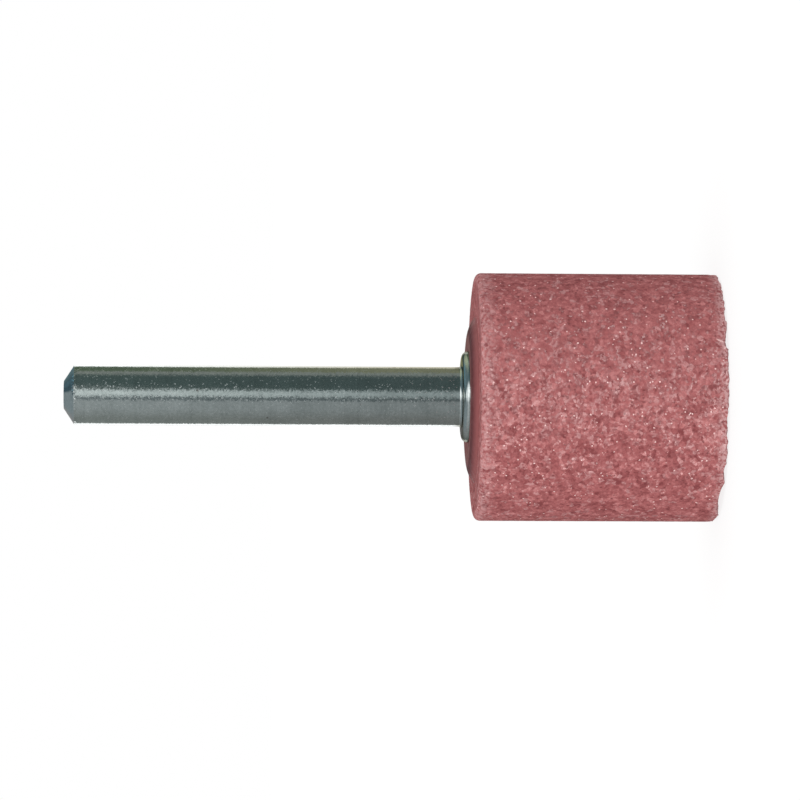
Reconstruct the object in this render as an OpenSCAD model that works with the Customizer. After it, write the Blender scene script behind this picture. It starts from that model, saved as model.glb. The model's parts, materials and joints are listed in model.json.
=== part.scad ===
// Mounted point: a pink abrasive wheel cemented to a collared steel shank.
// It stands on the wheel's free face, with the shank pointing up the Z axis.

/* [Abrasive wheel] */
// Diameter of the wheel
wheel_d = 25; // [20:0.5:40]
// Length of the wheel along its axis
wheel_len = 24.5; // [20:0.5:40]
// Radius of the moulded edge on the shank side
shank_side_edge_r = 0.6; // [0.2:0.1:1.5]
// Radius of the edge on the free end, before the chips
free_end_edge_r = 0.3; // [0.1:0.05:0.8]
// Size of one coarse abrasive grain, in which the chips are counted
grain = 0.5; // [0.3:0.05:0.8]
// Slope at which a chip runs out from the rim across the free face, in degrees
chip_slope = 8; // [5:1:20]

/* [Shank] */
// Diameter of the rod that a collet grips
shank_d = 6; // [4:0.5:8]
// Length of the rod from the collar to the tip
shank_len = 40; // [25:1:60]
// Length of the cone at the tip
tip_len = 1.05; // [0.5:0.05:2]
// Depth of the cone at the tip, measured along the radius
tip_depth = 1.6; // [0.5:0.1:1.8]
// How far the collar stands out beyond the rod
collar_overhang = 1.6; // [1:0.1:3]
// Thickness of the collar
collar_t = 0.75; // [0.5:0.05:1.5]
// Radius of the collar's outer edge
collar_edge_r = 0.65; // [0.1:0.05:0.7]
// Radius of the fillet between the collar and the rod
collar_fillet_r = 0.3; // [0.1:0.05:0.5]

/* [Tail inside the wheel] */
// Length of the tail below the wheel's face
tail_len = 14; // [8:0.5:16]
// Smooth length of the tail before the knurl starts
tail_smooth_len = 2; // [1:0.5:4]
// Distance between two flutes of the straight knurl
flute_pitch = 0.9; // [0.7:0.05:1.5]
// Depth of a flute
flute_depth = 0.25; // [0.1:0.05:0.4]
// Number of ring grooves that key the tail into the cement
ring_count = 2; // [1:1:3]
// Width of a ring groove
ring_w = 1.2; // [0.6:0.1:1.6]
// Depth of a ring groove
ring_depth = 0.5; // [0.2:0.05:0.8]

/* [Bonding cement] */
// Cement between the tail and the wall of the bore
cement_gap = 0.5; // [0.2:0.1:1]
// Cement between the end of the tail and the floor of the bore
cement_floor = 0.6; // [0.2:0.1:2]
// Thickness of the pad between the collar and the wheel
pad_t = 0.55; // [0.3:0.05:1]
// Flat lip of the pad around the collar, where it is narrowest
pad_lip = 0.2; // [0.1:0.05:1]
// Width of the squeezed-out ring beyond the lip
pad_ring_w = 3.2; // [2:0.05:3.5]
// How far the ring stands out from a straight slope
pad_bulge = 0.42; // [0.1:0.02:0.6]
// How far the pad was squeezed out to one side
pad_shift = 0.35; // [0:0.05:0.5]

/* [Hidden] */
$fn = 96;

// Cuts reach this far past the faces that they open
reach = 1;

wheel_r = wheel_d / 2;
shank_r = shank_d / 2;
collar_r = shank_r + collar_overhang;
bore_r = shank_r + cement_gap;

// Heights above the free face
tail_end_z = wheel_len - tail_len;
bore_floor_z = tail_end_z - cement_floor;
collar_seat_z = wheel_len + pad_t;
collar_top_z = collar_seat_z + collar_t;
tip_z = collar_top_z + shank_len;
knurl_len = tail_len - tail_smooth_len;

// The edge and the fillet of the collar stay inside its own thickness and overhang
edge_r = min(collar_edge_r, collar_t, collar_overhang);
fillet_r = min(collar_fillet_r, collar_overhang - edge_r);

// The pad's ring is one arc from the lip down to the wheel, and stands out from the chord between them
ring_start_r = collar_r + pad_shift + pad_lip;
ring_chord = sqrt(pow(pad_ring_w, 2) + pow(pad_t, 2));
ring_arc_r = (pow(ring_chord / 2, 2) + pow(pad_bulge, 2)) / (2 * pad_bulge);
ring_arc_drop = (ring_arc_r - pad_bulge) / ring_chord;
ring_arc_centre = [
    ring_start_r + pad_ring_w / 2 - pad_t * ring_arc_drop,
    pad_t / 2 - pad_ring_w * ring_arc_drop
];

// Straight knurl: whole flutes around the tail, each cut by one corner of a square bar
flute_count = round(PI * shank_d / flute_pitch);
flute_bar = flute_depth * sqrt(2);

// Chips around the rim of the free end: angle from the front, then depth and width in grains
CHIPS = [
    [25.5, 0.85, 1.8],
    [28.5, 0.6, 4.4],
    [42, 0.5, 3.6],
    [54.5, 0.95, 2],
    [74, 0.4, 5],
    [-12, 0.3, 7],
    [-37, 0.65, 4.4],
    [-57, 0.85, 13],
    [-82, 0.6, 8]
];

// Half section of the wheel, with its two edges rounded
module wheel_section() {
    difference() {
        square([wheel_r, wheel_len]);
        translate([wheel_r - shank_side_edge_r, wheel_len - shank_side_edge_r])
            corner_waste(shank_side_edge_r);
        translate([wheel_r - free_end_edge_r, free_end_edge_r])
            mirror([0, 1])
                corner_waste(free_end_edge_r);
    }
}

// What rounding takes off a corner, seen from the centre of its arc
module corner_waste(r) {
    difference() {
        square(r + reach);
        circle(r);
    }
}

// Grains broken out of the rim: a round groove, deepest at the rim, that runs out on the free face
module rim_chip(angle, depth, width) {
    groove_r = (pow(width / 2, 2) + pow(depth, 2)) / (2 * depth);
    start = groove_r + reach;
    rotate([0, 0, angle])
        translate([0, -wheel_r, depth - groove_r])
            rotate([-90 - chip_slope, 0, 0])
                translate([0, 0, -start])
                    cylinder(r = groove_r, h = start + wheel_r);
}

module bore() {
    translate([0, 0, bore_floor_z])
        cylinder(r = bore_r, h = wheel_len - bore_floor_z);
}

module abrasive_wheel() {
    color([0.68, 0.43, 0.43])
        difference() {
            rotate_extrude()
                wheel_section();
            bore();
            for (chip = CHIPS)
                rim_chip(chip[0], chip[1] * grain, chip[2] * grain);
        }
}

// Half section of the collar and of the fillet that runs up into the rod
module collar_section() {
    translate([0, collar_seat_z])
        difference() {
            square([collar_r, collar_t]);
            translate([collar_r - edge_r, collar_t - edge_r])
                corner_waste(edge_r);
        }
    translate([0, collar_top_z])
        difference() {
            square([shank_r + fillet_r, fillet_r]);
            translate([shank_r + fillet_r, fillet_r])
                circle(fillet_r);
        }
}

// Half section of the rod, from the end of its tail to the cone at its tip
module rod_section() {
    polygon([
        [0, tail_end_z],
        [shank_r, tail_end_z],
        [shank_r, tip_z - tip_len],
        [shank_r - tip_depth, tip_z],
        [0, tip_z]
    ]);
}

module knurl_flutes() {
    for (i = [0 : flute_count - 1])
        rotate([0, 0, i * 360 / flute_count])
            translate([shank_r, 0, tail_end_z - reach])
                rotate([0, 0, 45])
                    translate([-flute_bar / 2, -flute_bar / 2, 0])
                        cube([flute_bar, flute_bar, knurl_len + reach]);
}

module ring_grooves() {
    for (i = [1 : ring_count])
        translate([0, 0, tail_end_z + i * knurl_len / (ring_count + 1) - ring_w / 2])
            difference() {
                cylinder(r = shank_r + reach, h = ring_w);
                cylinder(r = shank_r - ring_depth, h = ring_w);
            }
}

module shank() {
    color([0.6, 0.64, 0.63])
        difference() {
            rotate_extrude()
                union() {
                    rod_section();
                    collar_section();
                }
            knurl_flutes();
            ring_grooves();
        }
}

// Half section of the pad: flat under the collar, then a round ring down to the wheel
module pad_section() {
    translate([0, wheel_len]) {
        square([ring_start_r, pad_t]);
        intersection() {
            translate([ring_start_r, 0])
                square([pad_ring_w, pad_t + pad_bulge]);
            translate(ring_arc_centre)
                circle(ring_arc_r);
        }
    }
}

module bonding_cement() {
    color([0.46, 0.26, 0.28])
        difference() {
            union() {
                translate([-pad_shift, 0, 0])
                    rotate_extrude()
                        pad_section();
                bore();
            }
            shank();
        }
}

shank();
abrasive_wheel();
bonding_cement();
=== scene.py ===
# %% [markdown]
# # A mounted point, dressed in Blender
# A mounted point is a small grinding wheel fixed on a steel shank. A turning tool grips the shank,
# and the side and the free end of the wheel do the grinding.
# The sizes come from the solids, which are loaded first and never moved. This lesson adds what
# solids can't show: broken grain, zinc plate, cured cement and the light of a small studio.

# %% Load the solids
import json
import math

import bmesh
import bpy
import numpy as np
from mathutils import Matrix, Vector, noise
from mathutils.bvhtree import BVHTree

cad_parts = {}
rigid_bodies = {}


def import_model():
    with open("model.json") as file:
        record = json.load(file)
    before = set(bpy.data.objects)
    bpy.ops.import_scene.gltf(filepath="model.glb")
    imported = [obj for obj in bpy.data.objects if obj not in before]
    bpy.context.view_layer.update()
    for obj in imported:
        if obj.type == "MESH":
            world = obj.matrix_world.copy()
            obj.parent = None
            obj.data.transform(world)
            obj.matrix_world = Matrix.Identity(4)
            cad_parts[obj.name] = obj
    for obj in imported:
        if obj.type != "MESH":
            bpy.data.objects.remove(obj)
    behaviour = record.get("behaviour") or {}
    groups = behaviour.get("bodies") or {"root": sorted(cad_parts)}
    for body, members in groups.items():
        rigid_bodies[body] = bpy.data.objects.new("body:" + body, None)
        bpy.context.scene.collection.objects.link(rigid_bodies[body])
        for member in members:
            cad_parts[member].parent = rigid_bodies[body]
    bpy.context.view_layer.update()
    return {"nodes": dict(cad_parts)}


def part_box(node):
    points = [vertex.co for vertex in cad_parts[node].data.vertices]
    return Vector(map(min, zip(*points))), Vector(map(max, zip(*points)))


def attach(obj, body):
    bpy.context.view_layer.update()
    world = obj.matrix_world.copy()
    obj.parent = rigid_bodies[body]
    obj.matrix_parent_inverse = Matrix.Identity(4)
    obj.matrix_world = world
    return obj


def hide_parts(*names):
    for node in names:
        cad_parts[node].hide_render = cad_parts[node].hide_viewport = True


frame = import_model()
scene = bpy.context.scene
MM = 0.001
shank = frame["nodes"]["shank"]
wheel = frame["nodes"]["abrasive_wheel"]
cement = frame["nodes"]["bonding_cement"]
wheel_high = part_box("abrasive_wheel")[1]
wheel_radius = wheel_high.x / MM
wheel_length = wheel_high.z / MM
print("wheel radius and length, mm:", round(wheel_radius, 2), round(wheel_length, 2))

# %% [markdown]
# ## Camera
# Catalogue pictures of small tools are taken from far away with a long lens, so that a cylinder's
# two edges stay almost parallel. A 200 mm lens on a 36 mm sensor does the same here.
# The part stands on its wheel, but the picture shows it lying, so the camera is rolled a quarter
# turn: the shank's tip points left and the +X side is up. A camera matrix built from its three
# axes says this more clearly than three angles would.

# %% Camera
camera_place = Vector((-0.35, -447.8, 51.4)) * MM
camera_tilt = math.radians(2.483)
camera_roll = math.radians(0.307)

back_axis = Vector((0, -math.cos(camera_tilt), math.sin(camera_tilt)))
level_up = Vector((1, 0, 0))
level_right = level_up.cross(back_axis)
right_axis = level_right * math.cos(camera_roll) + level_up * math.sin(camera_roll)
up_axis = back_axis.cross(right_axis)

camera_data = bpy.data.cameras.new("catalogue_camera")
camera_data.lens = 200
camera_data.sensor_width = 36
camera_data.clip_start = 0.01
camera_data.clip_end = 20
camera = bpy.data.objects.new("catalogue_camera", camera_data)
scene.collection.objects.link(camera)
camera_axes = Matrix((right_axis, up_axis, back_axis)).transposed().to_4x4()
camera.matrix_world = Matrix.Translation(camera_place) @ camera_axes
scene.camera = camera
print("camera looks along", [round(c, 3) for c in -back_axis])

# %% [markdown]
# ## White world
# The picture has a pure white ground. A white ground made by strong lamps would burn out the pink
# wheel, so the world has two backgrounds: one that the camera and reflections see, and one that
# lights the part. Here both are plain white, but the light can be changed without greying the ground.
# A world is a small network of nodes, and so is every finish below. Wiring nodes by hand takes many
# lines, so one helper makes a node and sets its options, and another fills or links its inputs.

# %% Two backgrounds
def fill_inputs(tree, node, inputs):
    """Give each input of a node a value, or link another node's output to it."""
    for socket, value in inputs.items():
        if isinstance(value, bpy.types.NodeSocket):
            tree.links.new(value, node.inputs[socket])
        else:
            node.inputs[socket].default_value = value


def add_node(tree, kind, inputs=None, **options):
    """Add a node, set its options, and fill its inputs by name or number."""
    node = tree.nodes.new(kind)
    for name, value in options.items():
        setattr(node, name, value)
    fill_inputs(tree, node, inputs or {})
    return node


WHITE = (1, 1, 1, 1)
ambient_strength = 1.0
backdrop_strength = 1.0
world = bpy.data.worlds.new("white_studio")
world.use_nodes = True
scene.world = world
sky = world.node_tree
sky.nodes.clear()
ambient = add_node(sky, "ShaderNodeBackground", {"Color": WHITE, "Strength": ambient_strength})
backdrop = add_node(sky, "ShaderNodeBackground", {"Color": WHITE, "Strength": backdrop_strength})
print("ambient light:", ambient_strength, "and backdrop:", backdrop_strength)

# %% White to the camera and to reflections
def calculate(tree, operation, first, second=0.5):
    """A Math node, returned as its output."""
    return add_node(tree, "ShaderNodeMath", {0: first, 1: second}, operation=operation).outputs[0]


def mirror_or_camera(tree):
    """1 for rays that come from the camera, a reflection or a refraction, and 0 for the rest."""
    path = add_node(tree, "ShaderNodeLightPath").outputs
    seen = calculate(tree, "MAXIMUM", path["Is Camera Ray"], path["Is Glossy Ray"])
    return calculate(tree, "MAXIMUM", seen, path["Is Transmission Ray"])


def either(tree, share, first, second):
    """Mix two shaders: none of the second at a share of 0, only the second at 1."""
    inputs = {0: share, 1: first.outputs[0], 2: second.outputs[0]}
    return add_node(tree, "ShaderNodeMixShader", inputs)


world_light = either(sky, mirror_or_camera(sky), ambient, backdrop)
add_node(sky, "ShaderNodeOutputWorld", {"Surface": world_light.outputs[0]})
scene.view_settings.view_transform = "Standard"
print("world:", len(sky.nodes), "nodes, shown with the Standard view transform")

# %% [markdown]
# ## Floor
# The part stands on a sheet of white paper. It is told to look white in the same way as the world,
# by a glow that only the camera and reflections see. A fifth of what they see is plain paper, which
# keeps a faint shadow of the tool. The glow is a little stronger than white, because paper in this
# light is a little darker. The part itself is lit from below by a second, weaker glow.

# %% Floor
floor_size = 6.0
floor_glow = 0.6
shadow_share = 0.2
paper_light = 0.92


def new_material(name):
    """A material with its node tree and its main shader."""
    material = bpy.data.materials.new(name)
    material.use_nodes = True
    return material, material.node_tree, material.node_tree.nodes["Principled BSDF"]


def show(tree, shader):
    """Make a shader the one that a material's surface shows."""
    tree.links.new(shader.outputs[0], tree.nodes["Material Output"].inputs["Surface"])


def dress(piece, material):
    """Give a piece one material, in every slot."""
    piece.data.materials.clear()
    piece.data.materials.append(material)


bpy.ops.mesh.primitive_plane_add(size=floor_size)
floor = bpy.context.object
floor.name = "studio_floor"
floor_white, floor_tree, floor_shader = new_material("white_floor")
floor_tree.nodes.remove(floor_shader)
light_table = add_node(floor_tree, "ShaderNodeEmission", {"Color": WHITE, "Strength": floor_glow})
white_glow = (1 - shadow_share * paper_light) / (1 - shadow_share)
glow = add_node(floor_tree, "ShaderNodeEmission", {"Color": WHITE, "Strength": white_glow})
paper = add_node(floor_tree, "ShaderNodeBsdfDiffuse", {"Color": WHITE})
seen_floor = either(floor_tree, shadow_share, glow, paper)
show(floor_tree, either(floor_tree, mirror_or_camera(floor_tree), light_table, seen_floor))
dress(floor, floor_white)
print("floor:", floor_size, "m square, white to the camera at a glow of", round(white_glow, 3))

# %% [markdown]
# ## Light tent
# A plated shank is a mirror bent into a cylinder: it shows the room and hardly any colour of its
# own. The bright stripe, the dark stripe above it and the even grey below it are cards around the
# tool. Here they are one round tent of cards that only reflections can see. Its tone changes with
# the angle around the part, counted from the camera towards the upper side of the picture.
# Two cards behind the part are as white as the ground, which is why a polished rod looks a little
# thinner than it is. The tent has four rows of cards, one above the other: the rod shows the two
# low ones, the round edge of the collar shows the wall, and the cone of the tip shows the lid.
# The tent has a base too, which keeps the white floor out of the foot of the rod.

# %% Cards of the tent
WHEEL_CARDS = [
    ("far grey", -180, -172, (0.22, 0.22, 0.22)),
    ("white ground", -168, -147, (1.5, 1.5, 1.5)),
    ("lower wall, far", -142, -100, (0.20, 0.205, 0.20)),
    ("lower wall, near", -50, -21, (0.255, 0.275, 0.28)),
    ("dark gap", -14, -10, (0.10, 0.12, 0.125)),
    ("dull stripe", 1, 14, (0.32, 0.365, 0.37)),
    ("dark cloth", 27, 80, (0.068, 0.095, 0.095)),
    ("pale seam", 94, 101, (0.25, 0.27, 0.25)),
    ("olive cloth", 110, 140, (0.24, 0.24, 0.16)),
    ("pale ground", 150, 168, (0.75, 0.70, 0.56)),
    ("far olive", 172, 180, (0.37, 0.38, 0.22)),
]
TIP_CARDS = [
    ("far grey", -180, -172, (0.22, 0.22, 0.22)),
    ("white ground", -168, -147, (1.5, 1.5, 1.5)),
    ("lower wall, far", -142, -100, (0.24, 0.26, 0.25)),
    ("lower wall, near", -50, -21, (0.35, 0.38, 0.385)),
    ("dark gap", -14, -10, (0.13, 0.16, 0.17)),
    ("bright stripe", 1, 14, (0.655, 0.715, 0.71)),
    ("dark cloth", 27, 80, (0.072, 0.105, 0.10)),
    ("pale seam", 94, 101, (0.25, 0.27, 0.255)),
    ("green cloth", 110, 140, (0.10, 0.14, 0.095)),
    ("white ground", 150, 168, (1.5, 1.5, 1.5)),
    ("far olive", 172, 180, (0.37, 0.38, 0.22)),
]
WALL_CARDS = [
    ("grey wall", -180, -100, (0.30, 0.305, 0.31)),
    ("pale wall", -40, -16, (0.54, 0.56, 0.57)),
    ("window", 2, 22, (1.5, 1.5, 1.5)),
    ("dark cloth", 44, 62, (0.13, 0.19, 0.21)),
    ("olive wall", 108, 150, (0.52, 0.56, 0.40)),
    ("blue wall", 160, 180, (0.12, 0.19, 0.21)),
]
LID_CARDS = [
    ("grey ceiling", -180, -20, (0.27, 0.315, 0.335)),
    ("window", 2, 18, (0.95, 1.0, 1.0)),
    ("dark ceiling", 40, 114, (0.13, 0.19, 0.21)),
    ("olive corner", 122, 128, (0.30, 0.36, 0.33)),
    ("blue ceiling", 132, 148, (0.18, 0.35, 0.44)),
    ("navy ceiling", 158, 166, (0.065, 0.11, 0.135)),
    ("grey ceiling", 172, 180, (0.27, 0.315, 0.335)),
]
NEXT_ROWS = [(0.008, 0.075, TIP_CARDS), (0.078, 0.10, WALL_CARDS), (0.19, 0.36, LID_CARDS)]
print("tent: rows of", len(WHEEL_CARDS), "cards and of", [len(cards) for _, _, cards in NEXT_ROWS])

# %% Helpers that shade the cards
def fade(tree, value, low, high, to_low=0.0, to_high=1.0):
    """Map a value from one range to another, with soft ends."""
    inputs = {"Value": value, "From Min": low, "From Max": high, "To Min": to_low, "To Max": to_high}
    node = add_node(tree, "ShaderNodeMapRange", inputs, interpolation_type="SMOOTHSTEP")
    return node.outputs["Result"]


def blend(tree, amount, first, second):
    """Mix two colours, returned as the mixed colour."""
    node = add_node(tree, "ShaderNodeMix", {0: amount, 6: first, 7: second}, data_type="RGBA")
    return node.outputs[2]


def colour_ramp(tree, value, stops):
    """A colour ramp through (place, colour) stops."""
    node = add_node(tree, "ShaderNodeValToRGB", {"Fac": value})
    elements = node.color_ramp.elements
    while len(elements) < len(stops):
        elements.new(0.5)
    for element, (place, colour) in zip(elements, stops):
        element.position = place
        element.color = (*colour, 1)
    return node.outputs["Color"]


def card_stops(cards):
    """Each card keeps its tone from its first to its last angle; tones blend between cards."""
    stops = []
    for _, first, last, tone in cards:
        stops += [(first / 360 + 0.5, tone), (last / 360 + 0.5, tone)]
    return stops


print("stops along the lowest row:", len(card_stops(WHEEL_CARDS)))

# %% Tones of the tent
lid_start, lid_full = 0.55, 0.59
lid_patch_edge, lid_patch_full = 0.16, 0.06
lid_patch_tone = (0.14, 0.17, 0.17, 1)


def vector_math(tree, operation, inputs):
    """A Vector Math node, returned as its vector."""
    return add_node(tree, "ShaderNodeVectorMath", inputs, operation=operation).outputs["Vector"]


def vector_length(tree, vector):
    """The length of a vector."""
    return add_node(tree, "ShaderNodeVectorMath", {0: vector}, operation="LENGTH").outputs["Value"]


def from_axis(tree, place):
    """Distance from the part's axis."""
    return vector_length(tree, vector_math(tree, "MULTIPLY", {0: place, 1: (1, 1, 0)}))


tent_tones, tent_tree, tent_shader = new_material("card_tones")
tent_tree.nodes.remove(tent_shader)
tent_place = add_node(tent_tree, "ShaderNodeTexCoord").outputs["Object"]
tent_xyz = add_node(tent_tree, "ShaderNodeSeparateXYZ", {0: tent_place}).outputs
toward_camera = calculate(tent_tree, "MULTIPLY", tent_xyz["Y"], -1)
tent_angle = calculate(tent_tree, "ARCTAN2", tent_xyz["X"], toward_camera)
turn_share = calculate(tent_tree, "ADD", calculate(tent_tree, "DIVIDE", tent_angle, 2 * math.pi), 0.5)
card_tone = colour_ramp(tent_tree, turn_share, card_stops(WHEEL_CARDS))
for start, full, cards in NEXT_ROWS:
    row_tone = colour_ramp(tent_tree, turn_share, card_stops(cards))
    card_tone = blend(tent_tree, fade(tent_tree, tent_xyz["Z"], start, full), card_tone, row_tone)
lid_patch = calculate(tent_tree, "MULTIPLY",
                      fade(tent_tree, from_axis(tent_tree, tent_place), lid_patch_edge, lid_patch_full),
                      fade(tent_tree, tent_xyz["Z"], lid_start, lid_full))
card_tone = blend(tent_tree, lid_patch, card_tone, lid_patch_tone)
show(tent_tree, add_node(tent_tree, "ShaderNodeEmission", {"Color": card_tone, "Strength": 1.0}))
print("tent tones:", len(tent_tree.nodes), "nodes")

# %% Tent
tent_radius = 0.3
tent_height = 0.6
tent_sides = 96
base_gap = 0.3 * MM


def light_only(lamp, objects):
    """Let a lamp or a glowing card light these objects and no others."""
    targets = bpy.data.collections.new(lamp.name + "_targets")
    for target in objects:
        targets.objects.link(target)
    lamp.light_linking.receiver_collection = targets


drum = bmesh.new()
bmesh.ops.create_cone(drum, radius1=tent_radius, radius2=tent_radius, depth=tent_height,
                      cap_ends=True, cap_tris=False, segments=tent_sides)
bmesh.ops.translate(drum, verts=drum.verts, vec=(0, 0, tent_height / 2 + base_gap))
tent_mesh = bpy.data.meshes.new("card_tent")
drum.to_mesh(tent_mesh)
drum.free()
tent = bpy.data.objects.new("card_tent", tent_mesh)
scene.collection.objects.link(tent)
dress(tent, tent_tones)
tent.visible_camera = False
tent.visible_diffuse = False
tent.visible_shadow = False
tent.visible_transmission = False
tent.visible_volume_scatter = False
light_only(tent, [shank, cement])
print("tent wall:", tent_radius, "m from the part, seen by reflections only")

# %% [markdown]
# ## Stone: the skin
# The wheel is coarse pink corundum fired in a glassy bond. Its side was trued smooth, but the free
# end is raw: grains stand out, and some have broken away along the rim.
# A remesh of the solid would spread its faces evenly. Here the faces are wanted at the rim, so a
# new skin is turned like a pot: a half section with close points at the rim is spun around the
# axis. Where the solid has a chip, the skin hangs over it in the air, so those points are pulled
# down onto the solid.

# %% Measure the wheel
joining_distance = 1e-7


def joined_surface(node):
    """The surface of a solid, with the vertices of neighbouring faces joined, ready to be probed."""
    mesh = bmesh.new()
    mesh.from_mesh(node.data)
    bmesh.ops.remove_doubles(mesh, verts=mesh.verts, dist=joining_distance)
    surface = BVHTree.FromBMesh(mesh)
    mesh.free()
    return surface


wheel_surface = joined_surface(wheel)
cement_low, cement_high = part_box("bonding_cement")
pad_radius = cement_high.y / MM
bore_floor = cement_low.z / MM
probe_height = (bore_floor + wheel_length) / 2
bore_radius = wheel_surface.ray_cast(Vector((0, 0, probe_height * MM)), Vector((1, 0, 0)))[3] / MM
print("bore radius and floor, mm:", round(bore_radius, 2), round(bore_floor, 2))

# %% Half section
free_edge, free_edge_points = 0.3, 5
shank_edge, shank_edge_points = 0.6, 7
rim_width, rim_height = 2.2, 3.0
free_face_step, rim_face_step, rim_side_step = 0.45, 0.14, 0.13
side_step, shank_face_step = 0.25, 0.22
hidden_step, bore_step = 1.2, 1.5


def stretch(start, end, step):
    """Even points from one (r, z) corner up to another, without the last."""
    start, end = np.array(start), np.array(end)
    count = max(1, round(np.linalg.norm(end - start) / step))
    return [start + (end - start) * i / count for i in range(count)]


def quarter(centre, radius, first_turn, count):
    """Points along a quarter of a circle, counter-clockwise, without the last."""
    turns = [first_turn + math.pi / 2 * i / count for i in range(count)]
    return [np.array(centre) + radius * np.array((math.cos(t), math.sin(t))) for t in turns]


flat_radius = wheel_radius - free_edge
rim_start = flat_radius - rim_width
round_radius = wheel_radius - shank_edge
round_height = wheel_length - shank_edge
section = (
    stretch((0, 0), (rim_start, 0), free_face_step)
    + stretch((rim_start, 0), (flat_radius, 0), rim_face_step)
    + quarter((flat_radius, free_edge), free_edge, -math.pi / 2, free_edge_points)
    + stretch((wheel_radius, free_edge), (wheel_radius, rim_height), rim_side_step)
    + stretch((wheel_radius, rim_height), (wheel_radius, round_height), side_step)
    + quarter((round_radius, round_height), shank_edge, 0, shank_edge_points)
    + stretch((round_radius, wheel_length), (pad_radius, wheel_length), shank_face_step)
    + stretch((pad_radius, wheel_length), (bore_radius, wheel_length), hidden_step)
    + stretch((bore_radius, wheel_length), (bore_radius, bore_floor), bore_step)
    + stretch((bore_radius, bore_floor), (0, bore_floor), hidden_step)
)
print("half section:", len(section), "points from the free face round to the floor of the bore")

# %% Spin the section
columns = 460


def spin(section, columns):
    """Spin a half section that starts on the axis; one more point on the axis closes its end."""
    rings = np.array(section[1:])
    turns = np.arange(columns) * 2 * math.pi / columns
    around = np.stack([np.cos(turns), np.sin(turns)], axis=1)
    flat = rings[:, None, :1] * around[None, :, :]
    height = np.repeat(rings[:, 1:], columns, axis=1)[:, :, None]
    points = np.concatenate([flat, height], axis=2).reshape(-1, 3)
    first, last = len(points), len(points) + 1
    points = np.vstack([points, (0, 0, section[0][1]), (0, 0, section[-1][1])])
    top = (len(rings) - 1) * columns
    faces = []
    for j in range(columns):
        k = (j + 1) % columns
        faces.append((first, k, j))
        faces.append((top + j, top + k, last))
        faces += [(i + j, i + k, i + columns + k, i + columns + j) for i in range(0, top, columns)]
    return points, faces


points, faces = spin(section, columns)
print("stone skin:", len(points), "points and", len(faces), "faces")

# %% Pull the skin onto the chips
overhang_limit = 0.04
full_break_depth = 0.25

fresh = np.zeros(len(points))
for i, point in enumerate(points):
    near, _, _, gap = wheel_surface.find_nearest(Vector(point * MM))
    if gap / MM > overhang_limit:
        points[i] = np.array(near) / MM
        fresh[i] = min(1.0, gap / MM / full_break_depth)
skin = bpy.data.meshes.new("grinding_stone")
skin.from_pydata((points * MM).tolist(), [], faces)
skin.update()
print("points pulled onto a chip:", int((fresh > 0).sum()))

# %% [markdown]
# ## Stone: grains in relief
# Each grain is one cell of a Voronoi pattern: round on top, with a seam to its neighbours. The
# trued side shows hardly any relief, while the raw end is rough right up to its rim. The skin is
# only pushed in, never out, so the wheel keeps its real size. Blender's vector noise starts from the
# clock, so it is given a seed: without one, each run would make another stone.

# %% Pattern of grains
grain_size = 0.7
grain_seed = 1
grain_wander, wander_scale = 0.3, 0.7
seam_distance = 0.62
level_scale = 9.7


def grain_pattern(places, size):
    """At each place, how far the surface lies below the top of its grain, and that grain's level."""
    hollow = np.empty(len(places))
    level = np.empty(len(places))
    for i, place in enumerate(places / size):
        spot = Vector(place)
        distances, seeds = noise.voronoi(spot + grain_wander * noise.noise_vector(spot * wander_scale))
        hollow[i] = min(1.0, (distances[0] / seam_distance) ** 2)
        level[i] = 0.5 + 0.5 * noise.cell(seeds[0] * level_scale)
    return hollow, level


noise.seed_set(grain_seed)
hollow, level = grain_pattern(points, grain_size)
print("grains of", grain_size, "mm, mean hollow:", round(float(hollow.mean()), 2))

# %% Push the grains in
side_depth = 0.012
end_depth = 0.16
end_reach = 1.1
hollow_share, level_share = 0.75, 0.25


def smooth_step(value, low, high):
    """From 0 at the low value to 1 at the high one, with soft ends."""
    share = np.clip((value - low) / (high - low), 0, 1)
    return share * share * (3 - 2 * share)


end_share = 1 - smooth_step(points[:, 2], 0.0, end_reach)
depth = side_depth + (end_depth - side_depth) * end_share
push = depth * (hollow_share * hollow + level_share * level)
normals = np.empty(len(points) * 3)
skin.vertices.foreach_get("normal", normals)
points -= normals.reshape(-1, 3) * push[:, None]
points[:, 2] = np.maximum(points[:, 2], 0)
skin.vertices.foreach_set("co", (points * MM).ravel())
print("deepest grain seam, mm:", round(float(push.max()), 3))

# %% The stone as a piece
fresh_break = skin.attributes.new("fresh_break", "FLOAT", "POINT")
fresh_break.data.foreach_set("value", fresh)
skin.polygons.foreach_set("use_smooth", [True] * len(skin.polygons))
skin.update()
stone = bpy.data.objects.new("grinding_stone", skin)
scene.collection.objects.link(stone)
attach(stone, "root")
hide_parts("abrasive_wheel")
print("stone:", len(skin.polygons), "faces, rides on root")

# %% [markdown]
# ## Two lamps
# The stone is brightest in the middle, a little below the axis, and its grains sparkle most there.
# So a soft box stands beside the camera, on the lower side of the picture, and gives the even light.
# A smaller lamp behind the camera gives the sparkle: only reflections show it.
# Neither of them lights the shank, as a photographer would screen them off with a black card: the
# tent already holds all that the shank shows. Light linking names the objects that a lamp may light.

# %% Lamps
soft_box_place = Vector((-0.2, -0.59, 0.08))
soft_box_size, soft_box_power = 0.35, 1.58
sparkle_place = Vector((-0.01, -0.6, 0.08))
sparkle_size, sparkle_power = 0.3, 9.8
neutral_light = (1, 1, 1)
rosy_light = (1, 0.83, 0.81)
lamp_target = Vector((0, 0, wheel_length * MM / 2))


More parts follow.
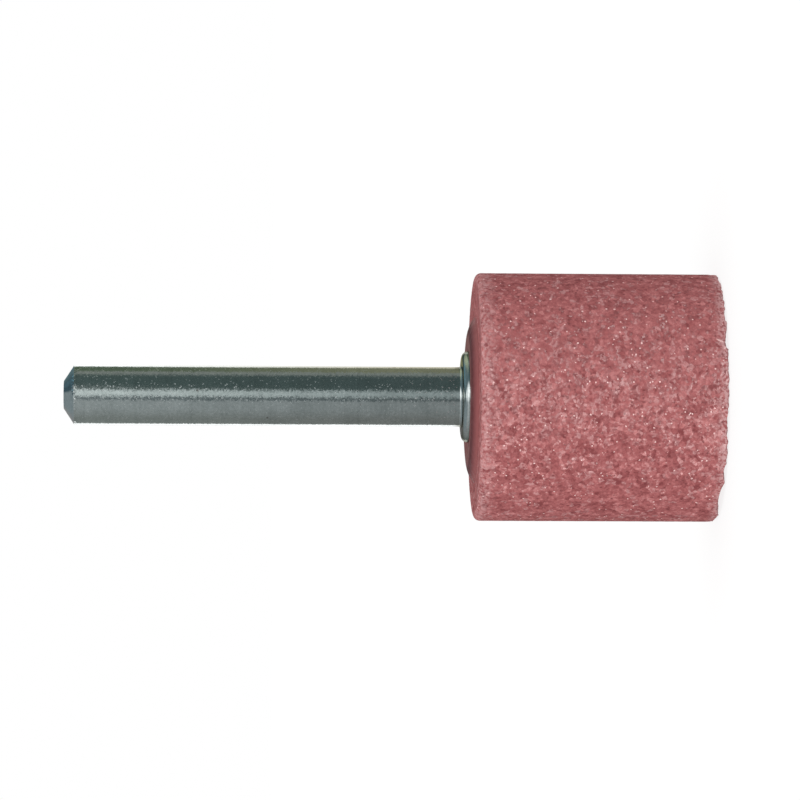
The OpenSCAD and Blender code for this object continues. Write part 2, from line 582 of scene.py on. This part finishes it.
def square_lamp(name, place, size, power, colour):
    """A square lamp that faces the wheel and lights all but the shank."""
    data = bpy.data.lights.new(name, "AREA")
    data.shape = "SQUARE"
    data.size = size
    data.energy = power
    data.color = colour
    data.cycles.use_multiple_importance_sampling = False
    lamp = bpy.data.objects.new(name, data)
    scene.collection.objects.link(lamp)
    lamp.location = place
    lamp.rotation_euler = (lamp_target - place).to_track_quat("-Z", "Y").to_euler()
    lamp.visible_camera = False
    light_only(lamp, [stone, cement, floor])
    print(name, power, "W from", [round(c, 2) for c in place])
    return lamp


soft_box = square_lamp("soft_box", soft_box_place, soft_box_size, soft_box_power, neutral_light)
soft_box.visible_glossy = False
sparkle = square_lamp("sparkle_lamp", sparkle_place, sparkle_size, sparkle_power, rosy_light)
sparkle.visible_diffuse = False

# %% [markdown]
# ## Stone: mottled grain
# Seen close, the stone is mottled: red bond, paler grains and seams between them. On top of that
# comes painted light: a few grains painted pale as the sheen of frosted facets, small crumbs painted
# as glints, and pits painted dark as the shade in the holes where a grain is missing. Each of these
# is one layer with its own size, so that the mixture doesn't look like one repeated pattern.
# A photograph as a texture would be quicker, but it would repeat and carry its own light.
# Voronoi cells make good grains, but their straight edges give them away. So the cells are laid out
# in coordinates that wander a little.

# %% Grains and facets
grains_a_millimetre = 2.0
facets_a_millimetre = 4.0
CENTRE = (0.5, 0.5, 0.5)


def millimetre_space(tree):
    """The piece's own coordinates, counted in millimetres."""
    place = add_node(tree, "ShaderNodeTexCoord").outputs["Object"]
    return vector_math(tree, "SCALE", {0: place, "Scale": 1 / MM})


def soft_noise(tree, place, scale, detail=2.0):
    """Cloudy noise around 0.5, with so many features a millimetre."""
    inputs = {"Vector": place, "Scale": scale, "Detail": detail}
    return add_node(tree, "ShaderNodeTexNoise", inputs).outputs


def cells(tree, place, scale, **options):
    """Voronoi cells, so many a millimetre."""
    return add_node(tree, "ShaderNodeTexVoronoi", {"Vector": place, "Scale": scale}, **options).outputs


def warped(tree, place, reach, scale):
    """Coordinates that wander a little, so that cells lose their straight edges."""
    wobble = vector_math(tree, "SUBTRACT", {0: soft_noise(tree, place, scale)["Color"], 1: CENTRE})
    return vector_math(tree, "MULTIPLY_ADD", {0: wobble, 1: (reach, reach, reach), 2: place})


stone_finish, stone_tree, stone_shader = new_material("pink_corundum")
stone_place = millimetre_space(stone_tree)
loose_place = warped(stone_tree, stone_place, reach=0.45, scale=1.7)
ragged_place = warped(stone_tree, stone_place, reach=0.16, scale=6.0)
grain = cells(stone_tree, loose_place, grains_a_millimetre)
facet = cells(stone_tree, ragged_place, facets_a_millimetre)
print("grains and facets a millimetre:", grains_a_millimetre, facets_a_millimetre)

# %% Mottled body
cloud_scale, dust_scale = 1.0, 3.2
seam_width, seam_strength = 0.07, 0.35
seam_red = (0.24, 0.062, 0.064, 1)
BOND_TO_GRAIN = [
    (0.20, (0.250, 0.062, 0.065)),
    (0.42, (0.362, 0.103, 0.105)),
    (0.60, (0.428, 0.131, 0.132)),
    (0.82, (0.56, 0.208, 0.207)),
]


def three_numbers(tree, colour):
    """The red, green and blue of a colour, used as three random numbers."""
    return add_node(tree, "ShaderNodeSeparateColor", {0: colour}).outputs


def weighted_sum(tree, terms):
    """Add up (weight, value) terms."""
    total = 0.0
    for weight, value in terms:
        total = calculate(tree, "ADD", total, calculate(tree, "MULTIPLY", value, weight))
    return total


grain_draw = three_numbers(stone_tree, grain["Color"])
facet_draw = three_numbers(stone_tree, facet["Color"])
cloud = fade(stone_tree, soft_noise(stone_tree, stone_place, cloud_scale)["Fac"], 0.3, 0.7)
dust = fade(stone_tree, soft_noise(stone_tree, stone_place, dust_scale)["Fac"], 0.25, 0.75)
mottle = weighted_sum(stone_tree, [
    (0.34, grain_draw["Red"]), (0.22, facet_draw["Red"]), (0.22, cloud), (0.22, dust)])
body = colour_ramp(stone_tree, mottle, BOND_TO_GRAIN)
from_seam = cells(stone_tree, loose_place, grains_a_millimetre, feature="DISTANCE_TO_EDGE")["Distance"]
body = blend(stone_tree, fade(stone_tree, from_seam, seam_width, 0.0, 0.0, seam_strength), body, seam_red)
print("mottled body:", len(stone_tree.nodes), "nodes")

# %% Painted sheen on frosted grains, painted glints and painted shade in pits
painted_sheen_grain_share, painted_glint_share, pit_share = 0.13, 0.028, 0.17
painted_glints_a_millimetre, pits_a_millimetre = 4.6, 2.6
painted_sheen_pink = (0.60, 0.34, 0.34, 1)
painted_glint_pink = (0.95, 0.64, 0.62, 1)
painted_pit_shade = (0.19, 0.046, 0.048, 1)


def picked(tree, draw, share):
    """1 where a random number is among the highest, in the given share of all cells, and 0 elsewhere."""
    return calculate(tree, "GREATER_THAN", draw, 1 - share)


def rare_spots(tree, cell, channel, share, edge, core, strength=1.0):
    """Round spots in a share of all cells: nothing at the edge's radius, full at the core's."""
    chosen = picked(tree, three_numbers(tree, cell["Color"])[channel], share)
    return calculate(tree, "MULTIPLY", chosen, fade(tree, cell["Distance"], edge, core, 0.0, strength))


# Painted sheen: a share of the grains is painted pale, as the sheen of their frosted facets.
painted_sheen = calculate(stone_tree, "MULTIPLY",
                  picked(stone_tree, grain_draw["Green"], painted_sheen_grain_share),
                  fade(stone_tree, dust, 0.2, 0.8, 0.1, 0.5))
body = blend(stone_tree, painted_sheen, body, painted_sheen_pink)
# Painted glints: small crumbs painted almost white, as the flash of clear facets.
painted_glint_cells = cells(stone_tree, ragged_place, painted_glints_a_millimetre)
painted_glint = rare_spots(stone_tree, painted_glint_cells, "Green", painted_glint_share, edge=0.5, core=0.25, strength=0.95)
body = blend(stone_tree, painted_glint, body, painted_glint_pink)
# Painted shade: pits are painted dark, as the shade in the holes where grains are missing.
pit_cells = cells(stone_tree, ragged_place, pits_a_millimetre)
pit = rare_spots(stone_tree, pit_cells, "Red", pit_share, edge=0.42, core=0.18, strength=0.65)
body = blend(stone_tree, pit, body, painted_pit_shade)
print("with frost, crumbs and pits:", len(stone_tree.nodes), "nodes")

# %% [markdown]
# ## Stone: wear and painted highlight
# Handling and first use rub the two edges pale and dusty, in patches. The same pale colour also
# stands in for the light that the rounded edges catch, so it is partly wear and partly painted highlight.
# Freshly broken stone is pale too, so the pull onto the chips was kept as an attribute, fresh_break,
# and comes back here. Beside one notch of the free rim, a pale crack runs a millimetre up the side.
# Painting the pale edges by hand would look right as well, but a rule such as "near this edge" also
# holds when the wheel's size changes.

# %% Worn edges and painted highlight
wear_and_highlight_pink = (0.60, 0.33, 0.33, 1)
pale_patch_scale = 3.6
side_pale_reach, side_pale_full = 1.2, 0.3
shank_pale_reach, shank_pale_full = 2.0, 0.4
free_pale_reach, free_pale_full = 1.4, 0.3
bare_face_width = 1.5

stone_height = add_node(stone_tree, "ShaderNodeSeparateXYZ", {0: stone_place}).outputs["Z"]
stone_radius = from_axis(stone_tree, stone_place)
on_side = fade(stone_tree, stone_radius, wheel_radius - side_pale_reach, wheel_radius - side_pale_full)
near_shank = fade(stone_tree, stone_height, wheel_length - shank_pale_reach, wheel_length - shank_pale_full)
shank_side = calculate(stone_tree, "MULTIPLY", on_side, near_shank)
off_middle = fade(stone_tree, stone_radius, pad_radius, pad_radius + bare_face_width)
near_end = fade(stone_tree, stone_height, free_pale_reach, free_pale_full)
free_side = calculate(stone_tree, "MULTIPLY", off_middle, near_end)
broken = add_node(stone_tree, "ShaderNodeAttribute", attribute_name="fresh_break").outputs["Fac"]
wear_and_highlight = weighted_sum(stone_tree, [(0.5, shank_side), (0.95, free_side), (0.4, broken)])
pale_patches = soft_noise(stone_tree, stone_place, pale_patch_scale)["Fac"]
patchy = fade(stone_tree, pale_patches, 0.38, 0.62, 0.0, 1.1)
# The pale edge colour is rubbed wear and also painted highlight on the rounded edges.
body = blend(stone_tree, calculate(stone_tree, "MULTIPLY", wear_and_highlight, patchy), body, wear_and_highlight_pink)
print("with worn edges:", len(stone_tree.nodes), "nodes")

# %% A crack beside one chip
crack_start = Vector((5.9, -11.02, 1.35))
crack_end = Vector((5.45, -11.25, 0.35))
crack_width = 0.14
crack_strength = 0.8
crack_pink = (0.85, 0.55, 0.53, 1)

crack_run = crack_end - crack_start
crack_space = add_node(stone_tree, "ShaderNodeMapping", {
    "Vector": stone_place,
    "Location": (crack_start + crack_end) / 2,
    "Rotation": crack_run.to_track_quat("X", "Z").to_euler(),
    "Scale": (crack_run.length / 2, crack_width, crack_width),
}, vector_type="TEXTURE").outputs[0]
crack = fade(stone_tree, vector_length(stone_tree, crack_space), 1.0, 0.5, 0.0, crack_strength)
body = blend(stone_tree, crack, body, crack_pink)
print("crack, mm long:", round(crack_run.length, 2))

# %% [markdown]
# ## Stone: glints
# These glints aren't painted on, unlike the small painted glints in the base colour. They are broken
# facets, each a small mirror that faces its own way, and they flash only where a lamp stands in that
# mirror. So they are a clear coat with the index of corundum, and its normal tilts at random from cell to
# cell.

# %% Glints
corundum_ior = 1.77
facet_share = 0.3
facet_roughness = 0.42
grain_tilt = 0.8
facet_tilt = 0.8


def random_tilt(tree, colour, reach):
    """A random direction, drawn from a cell's colour."""
    return vector_math(tree, "SCALE", {
        0: vector_math(tree, "SUBTRACT", {0: colour, 1: CENTRE}), "Scale": reach})


def tilted_normals(tree, *tilts):
    """The surface's own normals, pushed aside by tilts."""
    normal = add_node(tree, "ShaderNodeNewGeometry").outputs["Normal"]
    for tilt in tilts:
        normal = vector_math(tree, "ADD", {0: normal, 1: tilt})
    return vector_math(tree, "NORMALIZE", {0: normal})


fill_inputs(stone_tree, stone_shader, {
    "Coat Weight": facet_share,
    "Coat IOR": corundum_ior,
    "Coat Roughness": facet_roughness,
    "Coat Normal": tilted_normals(stone_tree,
                                  random_tilt(stone_tree, grain["Color"], grain_tilt),
                                  random_tilt(stone_tree, facet["Color"], facet_tilt)),
})
print("glints: a coat of", facet_share, "with an index of", corundum_ior)

# %% Stone finish
bump_strength = 0.3
bump_height = 0.06 * MM

fine_relief = weighted_sum(stone_tree, [(-0.6, facet["Distance"]), (0.8, dust), (-0.8, pit)])
stone_bump = add_node(stone_tree, "ShaderNodeBump", {
    "Strength": bump_strength, "Distance": bump_height, "Height": fine_relief})
fill_inputs(stone_tree, stone_shader, {
    "Base Color": body,
    "Roughness": 0.85,
    "Specular IOR Level": 0.02,
    "Normal": stone_bump.outputs[0],
})
dress(stone, stone_finish)
print("stone finish:", stone_finish.name, "with", len(stone_tree.nodes), "nodes")

# %% [markdown]
# ## Shank: zinc plate
# The shank is drawn steel with a bright zinc plate. Under a strong lens the plate is a field of
# tiny crystals, each tilted its own way, so its highlight breaks up into sparkles. A bump texture
# would round the crystals off. Tilting the normal of each cell of a Voronoi pattern keeps every
# crystal flat, like the real ones. A few crystals are frosted, and those catch the light of the
# bright stripe from further off. Where the cone starts, the edge is knocked and tilts the most.
# Where the plate is seen edge on, tall crystals hide the low ones, so there the tilts die away.
# The collar was pressed and is smoother. Its tint at a flat angle is dark, so that the round edge
# doesn't mirror the white ground and melt into it.

# %% Stretches of the shank
collar_rise, collar_blend = 0.6, 1.0
cone_length, cone_blend = 1.05, 0.05
knocked_reach, knocked_full = 0.3, 0.1
collar_top = cement_high.z / MM + collar_rise
cone_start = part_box("shank")[1].z / MM - cone_length

zinc_finish, zinc_tree, zinc_shader = new_material("zinc_plate")
zinc_place = millimetre_space(zinc_tree)
zinc_height = add_node(zinc_tree, "ShaderNodeSeparateXYZ", {0: zinc_place}).outputs["Z"]
above_collar = fade(zinc_tree, zinc_height, collar_top, collar_top + collar_blend)
below_cone = fade(zinc_tree, zinc_height, cone_start, cone_start - cone_blend)
on_rod = calculate(zinc_tree, "MULTIPLY", above_collar, below_cone)
from_cone = calculate(zinc_tree, "ABSOLUTE", calculate(zinc_tree, "SUBTRACT", zinc_height, cone_start))
knocked = fade(zinc_tree, from_cone, knocked_reach, knocked_full)
print("rod, mm: from", round(collar_top, 2), "to", round(cone_start, 2))

# %% Tint of the plate
patch_scale, ring_scale, speckle_scale = 0.5, 2.5, 4.5
patch_share, ring_share, speckle_share = 0.4, 0.15, 0.45
ZINC_TONES = [(0.35, (0.50, 0.54, 0.53)), (0.65, (0.70, 0.74, 0.73))]
stains_a_millimetre, stain_share = 0.55, 0.28
stain_grey = (0.30, 0.29, 0.28, 1)

patches = soft_noise(zinc_tree, zinc_place, patch_scale, detail=3.0)["Fac"]
rings = add_node(zinc_tree, "ShaderNodeTexNoise", {"W": zinc_height, "Scale": ring_scale, "Detail": 2.0},
                 noise_dimensions="1D").outputs["Fac"]
speckle = soft_noise(zinc_tree, zinc_place, speckle_scale)["Fac"]
zinc_shade = weighted_sum(zinc_tree, [
    (patch_share, patches), (ring_share, rings), (speckle_share, speckle)])
zinc_tint = colour_ramp(zinc_tree, zinc_shade, ZINC_TONES)
stain_cells = cells(zinc_tree, zinc_place, stains_a_millimetre)
stains = rare_spots(zinc_tree, stain_cells, "Blue", stain_share, edge=0.09, core=0.05)
zinc_tint = blend(zinc_tree, calculate(zinc_tree, "MULTIPLY", stains, on_rod), zinc_tint, stain_grey)
print("zinc tint:", len(zinc_tree.nodes), "nodes")

# %% Crystals
crystals_a_millimetre = 8.0
crystal_tilt = 0.1
knocked_tilt = 0.35
MOSTLY_AROUND = (1, 1, 0.15)
hiding_starts, all_hidden = 0.6, 0.88

edge_on = add_node(zinc_tree, "ShaderNodeLayerWeight", {"Blend": 0.5}).outputs["Facing"]
open_view = fade(zinc_tree, edge_on, hiding_starts, all_hidden, 1.0, 0.0)
crystal = cells(zinc_tree, zinc_place, crystals_a_millimetre)
tilt_reach = calculate(zinc_tree, "MULTIPLY", weighted_sum(zinc_tree, [
    (crystal_tilt, on_rod), (knocked_tilt, knocked)]), open_view)
tilt = vector_math(zinc_tree, "MULTIPLY", {
    0: random_tilt(zinc_tree, crystal["Color"], tilt_reach), 1: MOSTLY_AROUND})
crystal_normals = tilted_normals(zinc_tree, tilt)
print("crystals a millimetre:", crystals_a_millimetre)

# %% Shank finish
frosted_crystal_share = 0.045
frosted_roughness = 0.28
collar_roughness, rod_roughness = 0.08, 0.13
collar_edge_tint = (0.3, 0.29, 0.25, 1)

crystal_draw = three_numbers(zinc_tree, crystal["Color"])["Green"]
frosted = calculate(zinc_tree, "LESS_THAN", crystal_draw, frosted_crystal_share)
frosted = calculate(zinc_tree, "MULTIPLY", calculate(zinc_tree, "MULTIPLY", frosted, on_rod), open_view)
zinc_roughness = weighted_sum(zinc_tree, [
    (frosted_roughness, frosted),
    (1.0, fade(zinc_tree, on_rod, 0, 1, collar_roughness, rod_roughness)),
])
fill_inputs(zinc_tree, zinc_shader, {
    "Base Color": zinc_tint,
    "Metallic": 1.0,
    "Roughness": zinc_roughness,
    "Specular Tint": blend(zinc_tree, above_collar, collar_edge_tint, WHITE),
    "Normal": crystal_normals,
})
dress(shank, zinc_finish)
print("shank finish:", zinc_finish.name, "with", len(zinc_tree.nodes), "nodes")

# %% [markdown]
# ## Cement
# The dark red pad under the collar is cement that was squeezed out when the shank was pressed in.
# It set smooth, with a dull shine and a few streaks where it was wiped. Its tone changes from the
# collar outwards, and a dark ring where the pad slopes down to the wheel is painted shade. Painting
# the ring would work too, but one colour ramp over the distance from the pad's own middle, which lies a
# little beside the part's axis, keeps it round.

# %% Cement finish
# The darkest stops, around 0.835 of the pad's radius, are painted shade on the slope, not a colour of the
# cement.
RING_TONES_AND_SHADE = [
    (0.70, (0.26, 0.090, 0.088)),
    (0.78, (0.22, 0.072, 0.072)),
    (0.835, (0.085, 0.020, 0.023)),
    (0.88, (0.11, 0.028, 0.031)),
    (0.93, (0.20, 0.058, 0.060)),
    (0.98, (0.29, 0.089, 0.088)),
]
STREAK_TONES = [(0.3, (0.22, 0.068, 0.070)), (0.7, (0.14, 0.040, 0.043))]
streak_share = 0.25
streak_scale, grit_scale = 1.4, 6.0
wiped_roughness, dull_roughness = 0.38, 0.6
cement_bump_height = 0.04 * MM
pad_middle = (cement_low.x + cement_high.x) / 2 / MM

cement_finish, cement_tree, cement_shader = new_material("cured_cement")
cement_place = millimetre_space(cement_tree)
streaks = soft_noise(cement_tree, cement_place, streak_scale, detail=4.0)["Fac"]
grit = soft_noise(cement_tree, cement_place, grit_scale)["Fac"]
cement_shade = weighted_sum(cement_tree, [(0.65, streaks), (0.35, grit)])
from_pad_middle = vector_math(cement_tree, "SUBTRACT", {0: cement_place, 1: (pad_middle, 0, 0)})
outward = calculate(cement_tree, "DIVIDE", from_axis(cement_tree, from_pad_middle), pad_radius)
ring_tone_and_shade = colour_ramp(cement_tree, outward, RING_TONES_AND_SHADE)
streak_tone = colour_ramp(cement_tree, cement_shade, STREAK_TONES)
cement_bump = add_node(cement_tree, "ShaderNodeBump", {
    "Strength": bump_strength, "Distance": cement_bump_height, "Height": cement_shade})
fill_inputs(cement_tree, cement_shader, {
    "Base Color": blend(cement_tree, streak_share, ring_tone_and_shade, streak_tone),
    "Roughness": fade(cement_tree, streaks, 0.3, 0.7, wiped_roughness, dull_roughness),
    "Specular IOR Level": 0.1,
    "Normal": cement_bump.outputs[0],
})
dress(cement, cement_finish)
print("cement finish:", cement_finish.name, "around a middle at", round(pad_middle, 2), "mm")
